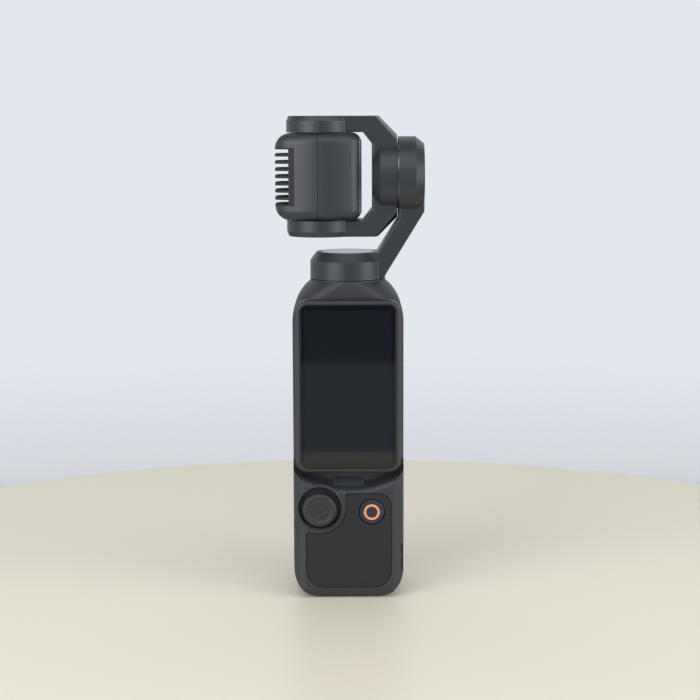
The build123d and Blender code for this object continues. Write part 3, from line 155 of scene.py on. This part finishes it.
def mesh_object(name, bm, material):
    """Object of the given material made from a bmesh, which is used up."""
    mesh = bpy.data.meshes.new(name)
    bm.to_mesh(mesh)
    bm.free()
    mesh.materials.append(material)
    made = bpy.data.objects.new(name, mesh)
    bpy.context.scene.collection.objects.link(made)
    return made


def painted_table(wire, place, parts):
    fleck = wire.noise(place, scale=900.0)
    cloud = wire.noise(place, scale=9.0)
    return {
        "Base Color": cloud.mixed(fleck, share=0.3).blend(
            shade(TABLE_COLOUR, 0.985), shade(TABLE_COLOUR, 1.015)
        ),
        "Roughness": cloud.between(0.36, 0.46),
    }


disc = bmesh.new()
bmesh.ops.create_cone(
    disc,
    cap_ends=True,
    segments=TABLE_SEGMENTS,
    radius1=TABLE_RADIUS,
    radius2=TABLE_RADIUS,
    depth=TABLE_THICKNESS,
    matrix=Matrix.Translation((0, TABLE_CENTRE_Y, -TABLE_THICKNESS / 2)),
)
table = mesh_object("table", disc, finish_material("painted_table", painted_table))

# Studio round the table: a backdrop that is pale round the horizon and darker above and below,
# with a blue-grey floor and a dark stand in front, two cards that only reflections see.
SKY = (
    (0.28, (0.13, 0.135, 0.15)),
    (0.37, (0.20, 0.21, 0.23)),
    (0.395, (0.655, 0.677, 0.720)),
    (0.43, (0.770, 0.805, 0.862)),
    (0.60, (0.770, 0.805, 0.862)),
    (0.76, (0.26, 0.28, 0.31)),
)
AMBIENT_STRENGTH = 0.8
STAND_COLOUR = (0.095, 0.13, 0.21)
STAND_HALF = 120 * MM
STAND_Y = -500 * MM
STAND_TOP = 420 * MM
FRONT_FLOOR_COLOUR = (0.34, 0.415, 0.50)
FRONT_FLOOR_HALF = 450 * MM
FRONT_FLOOR_Z = -2.5 * MM


def stage_card(name, colour, half, start, end):
    """Flat glowing card between two (y, z) edges that only reflections see."""
    material = bpy.data.materials.new(name)
    material.use_nodes = True
    tree = material.node_tree
    tree.nodes.clear()
    glow = Wire(tree).node("ShaderNodeEmission", {}, {"Color": (*colour, 1.0)})
    surface = tree.nodes.new("ShaderNodeOutputMaterial")
    tree.links.new(glow.socket, surface.inputs["Surface"])
    corners = [(-half, *start), (half, *start), (half, *end), (-half, *end)]
    card = bmesh.new()
    card.faces.new([card.verts.new(corner) for corner in corners])
    made = mesh_object(name, card, material)
    made.visible_camera = False
    made.visible_shadow = False
    made.visible_diffuse = False


near_edge = (STAND_Y, FRONT_FLOOR_Z)
stage_card("dark_stand", STAND_COLOUR, STAND_HALF, near_edge, (STAND_Y, STAND_TOP))
stage_card(
    "front_floor",
    FRONT_FLOOR_COLOUR,
    FRONT_FLOOR_HALF,
    near_edge,
    (TABLE_CENTRE_Y, FRONT_FLOOR_Z),
)

world = bpy.data.worlds.new("studio")
bpy.context.scene.world = world
world.use_nodes = True
studio = Wire(world.node_tree)
direction = studio.node("ShaderNodeTexCoord", {}, {}, "Generated")
height = studio.node("ShaderNodeSeparateXYZ", {}, {"Vector": direction}, "Z")
sky = studio.node("ShaderNodeValToRGB", {"stops": SKY}, {"Fac": height * 0.5 + 0.5})
camera_ray, glossy_ray, clear_ray = [
    studio.node("ShaderNodeLightPath", {}, {}, ray)
    for ray in ("Is Camera Ray", "Is Glossy Ray", "Is Transmission Ray")
]
seen = studio.node(
    "ShaderNodeMath",
    {"operation": "ADD", "use_clamp": True},
    {0: camera_ray + glossy_ray, 1: clear_ray},
)
background = world.node_tree.nodes["Background"]
world.node_tree.links.new(sky.socket, background.inputs["Color"])
strength = seen.between(AMBIENT_STRENGTH, 1.0)
world.node_tree.links.new(strength.socket, background.inputs["Strength"])

# Lamps: one soft lamp on each side, whose streaks show on the round and bevelled forms, a wide
# one above in front, and one behind. Each has its place and size in metres and power in watts.
LAMPS = (
    ("lamp_left", (-0.37, -0.41, 0.20), (0.40, 0.40), 1.8),
    ("lamp_right", (0.49, -0.26, 0.20), (0.34, 0.40), 1.5),
    ("lamp_above", (0, -0.75, 0.85), (1.6, 1.0), 7.5),
    ("lamp_behind", (0, 0.75, 0.75), (1.8, 0.8), 3.0),
)
LAMP_TARGET = Vector((0, 0, 75 * MM))
for name, place, size, power in LAMPS:
    lamp_data = bpy.data.lights.new(name, "AREA")
    lamp_data.shape = "RECTANGLE"
    lamp_data.size, lamp_data.size_y = size
    lamp_data.energy = power
    lamp = bpy.data.objects.new(name, lamp_data)
    bpy.context.scene.collection.objects.link(lamp)
    lamp.location = place
    lamp.rotation_mode = "QUATERNION"
    lamp.rotation_quaternion = (LAMP_TARGET - Vector(place)).to_track_quat("-Z", "Y")

# The photograph's camera: it looks slightly down from 478 mm in front and leans by a hair.
# Its place and lens were fitted to the known height of the object.
CAMERA_PLACE = (0.56 * MM, -477.8 * MM, 138.7 * MM)
CAMERA_PITCH = math.radians(8.05)
CAMERA_LEAN = math.radians(-0.22)
LENS_MM = 83.95
SENSOR_MM = 36
camera_data = bpy.data.cameras.new("camera")
camera_data.sensor_width = SENSOR_MM
camera_data.lens = LENS_MM
camera = bpy.data.objects.new("camera", camera_data)
bpy.context.scene.collection.objects.link(camera)
turn = Matrix.Rotation(math.pi / 2 - CAMERA_PITCH, 4, "X") @ Matrix.Rotation(CAMERA_LEAN, 4, "Z")
camera.matrix_world = Matrix.Translation(CAMERA_PLACE) @ turn
bpy.context.scene.camera = camera
bpy.context.scene.view_settings.view_transform = "Standard"


# Handle: two shells of black-grey glass-filled plastic with a fine moulded grain.
# They meet in a seam down each side and hold everything else.
SHELL_COLOUR = (0.0172, 0.0195, 0.0245)
SHELL_WORN = (0.0215, 0.0238, 0.0288)


def coat(material, *names):
    """Put a material on CAD nodes."""
    for name in names:
        for material_slot in nodes[name].material_slots:
            material_slot.material = material


def moulded_grain(wire, place, parts):
    grain = wire.noise(place, scale=3200.0, detail=3.0)
    cloud = wire.noise(place, scale=60.0, detail=3.0)
    wear = cloud.mixed(grain, share=0.2).step(0.3, 0.75)
    return {
        "Base Color": wear.blend(SHELL_COLOUR, SHELL_WORN),
        "Roughness": cloud.between(0.42, 0.52) + grain * 0.08,
        "Normal": grain.mixed(cloud, share=0.3).bump(strength=0.2, depth=0.03 * MM),
    }


coat(finish_material("moulded_shell", moulded_grain), "rear_shell", "front_shell")

# Grip panel: a thin smooth sheet of softer black plastic, bonded flush into the front shell.
# It reflects a little less than the shell round it.
PANEL_COLOUR = (0.0062, 0.0082, 0.0112)


def smooth_panel(wire, place, parts):
    haze = wire.noise(place, scale=140.0, detail=4.0)
    grain = wire.noise(place, scale=2400.0)
    return {
        "Base Color": haze.blend(PANEL_COLOUR, shade(PANEL_COLOUR, 1.2)),
        "Roughness": haze.between(0.42, 0.54),
        "Normal": grain.bump(strength=0.12, depth=0.02 * MM),
    }


coat(finish_material("grip_panel_skin", smooth_panel, Specular_IOR_Level=0.42), "grip_panel")

# Status window: a strip of dark clear plastic in the scoop under the screen.
# The lamp behind it is off.
WINDOW_COLOUR = (0.028, 0.033, 0.038)


def window_gloss(wire, place, parts):
    haze = wire.noise(place, scale=300.0)
    return {
        "Base Color": haze.blend(WINDOW_COLOUR, shade(WINDOW_COLOUR, 1.5)),
        "Roughness": haze.between(0.22, 0.30),
    }


coat(finish_material("status_window", window_gloss), "status_led_window")

# Bare metal in the handle: drawn steel for the port and card socket, turned steel for the
# joystick's stem and the screen's pivot, darker steel for the screws, gold on the contacts.
ROUND_X = (12.0, 1.0, 1.0)
ROUND_Y = (1.0, 12.0, 1.0)
ROUND_Z = (1.0, 1.0, 12.0)
EVEN = (1.0, 1.0, 1.0)


def brushed_metal(name, colour, scale, stretch):
    """Metal with fine streaks round the axis of the largest stretch, as turning leaves them."""

    def build(wire, place, parts):
        turned = wire.node(
            "ShaderNodeVectorMath", {"operation": "MULTIPLY"}, {0: place, 1: stretch}
        )
        streak = wire.noise(turned, scale, detail=3.0)
        return {
            "Base Color": streak.blend(shade(colour, 0.85), colour),
            "Roughness": streak.between(0.20, 0.42),
            "Normal": streak.bump(strength=0.15, depth=0.01 * MM),
        }

    return finish_material(name, build, Metallic=1.0)


coat(
    brushed_metal("drawn_steel", (0.52, 0.52, 0.53), 900.0, ROUND_Z),
    "usb_c_port",
    "card_socket",
)
coat(
    brushed_metal("turned_steel", (0.6, 0.6, 0.61), 700.0, ROUND_Y),
    "joystick_stem",
    "screen_pivot",
    "screen_retainer",
)
coat(
    brushed_metal("screw_steel", (0.2, 0.2, 0.21), 1500.0, ROUND_Y),
    "shell_screws",
    "camera_screws",
)
coat(
    brushed_metal("contact_gold", (0.83, 0.6, 0.24), 1800.0, ROUND_X),
    "accessory_contacts",
)

# Inside of the handle: battery in its wrap, circuit boards, die-cast frame and moulded parts.
# The eyelet's bar, which shows in the right wall, is black moulding too.
BOARD_GREEN = (0.012, 0.075, 0.045)
BOARD_TRACK = (0.03, 0.13, 0.08)


def solder_mask(wire, place, parts):
    tracks = wire.node(
        "ShaderNodeTexBrick",
        {"offset": 0.35},
        {"Vector": place, "Scale": 420.0, "Mortar Size": 0.03},
        "Fac",
    )
    return {
        "Base Color": tracks.blend(BOARD_GREEN, BOARD_TRACK),
        "Roughness": wire.noise(place, scale=500.0).between(0.3, 0.4),
    }


coat(finish_material("solder_mask", solder_mask), "main_board", "button_board", "sensor_board")


def moulding(name, low, high, roughness, **fixed):
    """Plain surface between two close colours, with a fine grain."""

    def build(wire, place, parts):
        cloud = wire.noise(place, scale=220.0, detail=3.0)
        grain = wire.noise(place, scale=2600.0)
        return {
            "Base Color": cloud.blend(low, high),
            "Roughness": cloud.between(roughness, roughness + 0.15),
            "Normal": grain.bump(strength=0.15, depth=0.02 * MM),
        }

    return finish_material(name, build, **fixed)


coat(
    moulding("black_moulding", (0.012, 0.012, 0.013), (0.02, 0.02, 0.021), 0.45),
    "lanyard_bar",
    "joystick_base",
    "joystick_slider",
    "joystick_cradle",
    "record_switch",
    "screen_bushing",
    "speaker",
    "lens_barrel",
)
coat(
    moulding("cell_wrap", (0.07, 0.075, 0.085), (0.09, 0.1, 0.11), 0.3),
    "battery_cell",
)
coat(
    brushed_metal("die_cast_alloy", (0.5, 0.51, 0.52), 350.0, EVEN),
    "mid_frame",
    "pan_motor_base",
)

# Screen: a plastic case whose cover glass is black all over while the display is off.
# The glass has a printed border, and the display area behind it is a shade lighter.
CASE_COLOUR = (0.016, 0.0175, 0.021)
GLASS_BORDER = (0.0025, 0.0027, 0.003)
GLASS_OVER_DISPLAY = (0.006, 0.0068, 0.008)
GLASS_IOR = 1.5
DISPLAY_HALF_WIDTH = 12.5 * MM
DISPLAY_HALF_HEIGHT = 22.2 * MM
DISPLAY_Z = 62.7 * MM
DISPLAY_EDGE = 0.12 * MM
coat(
    moulding("screen_case", CASE_COLOUR, shade(CASE_COLOUR, 1.25), 0.36),
    "screen_frame",
    "screen_rear_cover",
)


def cover_glass(wire, place, parts):
    across = parts[0].absolute().step(DISPLAY_HALF_WIDTH - DISPLAY_EDGE, DISPLAY_HALF_WIDTH)
    up = (parts[2] - DISPLAY_Z).absolute()
    along = up.step(DISPLAY_HALF_HEIGHT - DISPLAY_EDGE, DISPLAY_HALF_HEIGHT)
    inside = (1.0 - across) * (1.0 - along)
    smudge = wire.noise(place, scale=55.0, detail=4.0).step(0.45, 0.8)
    return {
        "Base Color": inside.blend(GLASS_BORDER, GLASS_OVER_DISPLAY),
        "Roughness": smudge.between(0.035, 0.075),
    }


coat(finish_material("cover_glass", cover_glass, IOR=GLASS_IOR), "cover_glass")
coat(
    moulding("display_layer", (0.008, 0.008, 0.01), (0.012, 0.012, 0.014), 0.2),
    "display_panel",
)

# Joystick cap: moulded rubber whose dish has rows of small pyramids for the thumb.
# The rows follow the dish, which is flat in the middle and rises towards its rim.
STICK_X = -8.35 * MM
STICK_Z = 27.2 * MM
STICK_DISH_Y = -19.1 * MM
STICK_KNURL_RADIUS = 3.2 * MM
STICK_DISH_FLAT = 2.6 * MM
STICK_DISH_SLOPE = 1 / 3
STICK_RUBBER = (0.0105, 0.0125, 0.0155)
STICK_GRAIN = 420.0
KNURL_PITCH = 0.55 * MM
KNURL_HEIGHT = 0.24 * MM
KNURL_ROOT = 0.1 * MM
KNURL_VALLEY = 0.1 * KNURL_HEIGHT
KNURL_CREST = 0.9 * KNURL_HEIGHT


def moulded_rubber(wire, place, parts):
    bloom = wire.noise(place, STICK_GRAIN, detail=3.0)
    grain = wire.noise(place, scale=3000.0)
    return {
        "Base Color": bloom.blend(STICK_RUBBER, shade(STICK_RUBBER, 1.5)),
        "Roughness": bloom.between(0.5, 0.65),
        "Normal": grain.bump(strength=0.2, depth=0.02 * MM),
    }


coat(finish_material("stick_rubber", moulded_rubber), "joystick_cap")


def shaded_knurl(wire, place, parts):
    """The same rubber, with painted shade between the pyramids and lighter towards their tips."""
    radius = (parts[0] - STICK_X).radius(parts[2] - STICK_Z)
    rise = (radius - STICK_DISH_FLAT).at_least(0.0) * STICK_DISH_SLOPE
    tip = (STICK_DISH_Y - parts[1] - rise).step(KNURL_VALLEY, KNURL_CREST)
    return {
        "Base Color": tip.blend(shade(STICK_RUBBER, 0.3), shade(STICK_RUBBER, 5)),
        "Roughness": wire.noise(place, STICK_GRAIN, detail=3.0).between(0.5, 0.65),
    }


rows = bmesh.new()
cells = 2 * round(STICK_KNURL_RADIUS / KNURL_PITCH) + 1
bmesh.ops.create_grid(
    rows, x_segments=cells, y_segments=cells, size=cells * KNURL_PITCH / 2, matrix=Matrix()
)
outside = [f for f in rows.faces if f.calc_center_median().length > STICK_KNURL_RADIUS]
bmesh.ops.delete(rows, geom=outside, context="FACES")
bmesh.ops.poke(rows, faces=rows.faces[:], offset=KNURL_HEIGHT)
rim = [e for e in rows.edges if e.is_boundary]
skirt = bmesh.ops.extrude_edge_only(rows, edges=rim)["geom"]
bmesh.ops.translate(
    rows, vec=(0, 0, -KNURL_ROOT), verts=[v for v in skirt if isinstance(v, bmesh.types.BMVert)]
)
bmesh.ops.holes_fill(rows, edges=[e for e in rows.edges if e.is_boundary])
bmesh.ops.recalc_face_normals(rows, faces=rows.faces[:])
for vert in rows.verts:
    vert.co.z += max(0.0, vert.co.xy.length - STICK_DISH_FLAT) * STICK_DISH_SLOPE
bmesh.ops.transform(
    rows,
    matrix=Matrix.Translation((STICK_X, STICK_DISH_Y, STICK_Z))
    @ Matrix.Rotation(math.pi / 2, 4, "X")
    @ Matrix.Rotation(math.pi / 4, 4, "Z"),
    verts=rows.verts[:],
)
knurl = mesh_object("joystick_knurl", rows, finish_material("knurl_rubber", shaded_knurl))
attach(knurl, "stick")

# Record button: a black moulded cap with an orange ring let into its face.
# The ring's orange is deeper inside, as painted shade, and paler towards its rim.
RING_SHADED_ORANGE = (0.55, 0.085, 0.025)
RING_OUTER_ORANGE = (0.63, 0.305, 0.185)
RING_SHADE_RADIUS = 1.62 * MM
RING_PALE_RADIUS = 1.95 * MM
RECORD_X = 6.7 * MM
RECORD_Z = 26.0 * MM


def shaded_ring_enamel(wire, place, parts):
    """Orange enamel with painted shade: deep towards the inside and paler towards the rim."""
    radius = (parts[0] - RECORD_X).radius(parts[2] - RECORD_Z)
    unshaded_share = radius.step(RING_SHADE_RADIUS, RING_PALE_RADIUS)
    return {
        "Base Color": unshaded_share.blend(RING_SHADED_ORANGE, RING_OUTER_ORANGE),
        "Roughness": wire.noise(place, scale=900.0).between(0.32, 0.42),
    }


coat(
    moulding("button_moulding", (0.009, 0.012, 0.021), (0.012, 0.016, 0.028), 0.4),
    "record_button",
)
coat(finish_material("shaded_ring_enamel", shaded_ring_enamel), "record_ring")

# Gimbal: arm and yoke are die-cast alloy under a satin dark grey coating, with thin covers
# let into the motor housings. The covers are smoother and lighter.
GIMBAL_COLOUR = (0.0185, 0.0225, 0.0285)
COVER_COLOUR = (0.04, 0.044, 0.05)
# Among the rear housing's fins the coating is darkened by half as painted shade, and made
# rougher.
FIN_PAINTED_SHADE = 0.5
FIN_FIELD_ROUGHNESS = 0.3


def satin_coating(name, colour, roughness, painted_shade=None):
    """Sprayed coating: even, with a fine orange peel, and darkened as painted shade, and duller,
    where the given mask says.
    """

    def build(wire, place, parts):
        peel = wire.noise(place, scale=1500.0)
        cloud = wire.noise(place, scale=80.0, detail=3.0)
        paint = cloud.blend(shade(colour, 0.93), shade(colour, 1.07))
        rough = cloud.between(roughness, roughness + 0.08) + peel * 0.06
        if painted_shade:
            share = painted_shade(parts)
            paint = share.blend(paint, shade(colour, FIN_PAINTED_SHADE))
            rough = rough + share * FIN_FIELD_ROUGHNESS
        return {
            "Base Color": paint,
            "Roughness": rough,
            "Normal": peel.bump(strength=0.12, depth=0.02 * MM),
        }

    return finish_material(name, build)


coat(satin_coating("gimbal_coating", GIMBAL_COLOUR, 0.34), "pan_arm", "yoke")
coat(
    satin_coating("cover_coating", COVER_COLOUR, 0.1),
    "pan_cover",
    "roll_cover",
    "tilt_cover_upper",
    "tilt_cover_lower",
)

# Gimbal motors: laminated cores, steel bells, nickel-plated magnets and ground bearings.
# The pan and tilt motors stand upright, and the roll motor lies level.
CORE_STEEL = (0.25, 0.25, 0.26)
BELL_STEEL = (0.5, 0.5, 0.51)
BELL_STREAKS = 600.0
SHEET_PITCH = 0.1 * MM
SHEET_JOINT = 0.02 * MM


def laminated_core(name, axis):
    """Stack of thin steel sheets, seen as fine lines square to the motor's axis."""

    def build(wire, place, parts):
        lines = wire.math("PINGPONG", parts[axis], SHEET_PITCH)
        sheet = lines.step(SHEET_JOINT, SHEET_PITCH - SHEET_JOINT)
        return {
            "Base Color": sheet.blend(shade(CORE_STEEL, 0.6), CORE_STEEL),
            "Roughness": sheet.between(0.35, 0.5),
        }

    return finish_material(name, build, Metallic=1.0)


coat(laminated_core("upright_core", 2), "pan_motor_stator", "tilt_motor_stator")
coat(laminated_core("level_core", 0), "roll_motor_stator")
coat(
    brushed_metal("upright_bell", BELL_STEEL, BELL_STREAKS, ROUND_Z),
    "pan_motor_rotor",
    "tilt_motor_rotor",
    "pan_shaft",
    "tilt_pivot_pins",
)
coat(
    brushed_metal("level_bell", BELL_STEEL, BELL_STREAKS, ROUND_X),
    "roll_motor_rotor",
    "roll_shaft",
)
coat(
    brushed_metal("magnet_plating", (0.62, 0.62, 0.64), 300.0, EVEN),
    "pan_magnets",
    "roll_magnets",
    "tilt_magnets",
)
coat(
    brushed_metal("bearing_steel", (0.72, 0.72, 0.73), 1200.0, EVEN),
    "pan_bearings",
    "roll_bearings",
    "tilt_bearings",
)

# Camera head: two coated alloy housings, the rear one finned, and a bright turned edge
# round the dark window in front of the lens.
CAMERA_COLOUR = (0.0200, 0.0240, 0.0300)
HEAD_Z = 122.36 * MM
FIN_BAND_X = -15.2 * MM
FIN_BAND_EDGE = 0.05 * MM
FIN_FIELD_HALF = 8.3 * MM
FIN_FIELD_EDGE = 0.1 * MM


def fin_painted_shade(parts):
    """1 among the fins, where the coating gets painted shade, and 0 elsewhere."""
    front = parts[0].step(FIN_BAND_X - FIN_BAND_EDGE, FIN_BAND_X + FIN_BAND_EDGE)
    up = (parts[2] - HEAD_Z).absolute()
    beyond = up.step(FIN_FIELD_HALF - FIN_FIELD_EDGE, FIN_FIELD_HALF + FIN_FIELD_EDGE)
    return (1.0 - front) * (1.0 - beyond)


coat(
    satin_coating("camera_coating", CAMERA_COLOUR, 0.36, fin_painted_shade),
    "camera_front_housing",
    "camera_rear_housing",
)
coat(
    moulding("bezel_metal", (0.52, 0.53, 0.55), (0.58, 0.59, 0.61), 0.48, Metallic=1.0),
    "lens_bezel",
)

# Lens: black-printed window with a clear round opening, and coated elements behind it.
# Only the opening lets a part of the light through to the elements.
WINDOW_BLACK = (0.004, 0.0045, 0.006)
WINDOW_HAZE = (0.007, 0.0075, 0.009)
LENS_VIOLET = (0.02, 0.015, 0.04)
LENS_TEAL = (0.015, 0.03, 0.035)
LENS_IOR = 1.6
LENS_CLEAR_RADIUS = 4.8 * MM
LENS_CLEAR_EDGE = 0.1 * MM
LENS_CLEAR_ALPHA = 0.3


def masked_glass(wire, place, parts):
    """Glass printed black on its inside, but for a clear round opening before the lens."""
    haze = wire.noise(place, scale=90.0, detail=3.0)
    radius = parts[1].radius(parts[2] - HEAD_Z)
    printed = radius.step(LENS_CLEAR_RADIUS - LENS_CLEAR_EDGE, LENS_CLEAR_RADIUS)
    return {
        "Base Color": haze.blend(WINDOW_BLACK, WINDOW_HAZE),
        "Roughness": haze.between(0.04, 0.08),
        "Alpha": printed.between(LENS_CLEAR_ALPHA, 1.0),
    }


coat(finish_material("lens_window", masked_glass, IOR=GLASS_IOR), "front_glass")


def lens_optic(wire, place, parts):
    bloom = wire.noise(place, scale=60.0)
    return {
        "Base Color": bloom.blend(LENS_VIOLET, LENS_TEAL),
        "Roughness": bloom.between(0.02, 0.05),
    }


coat(finish_material("lens_optic", lens_optic, IOR=LENS_IOR), "lens_elements", "focus_lens")
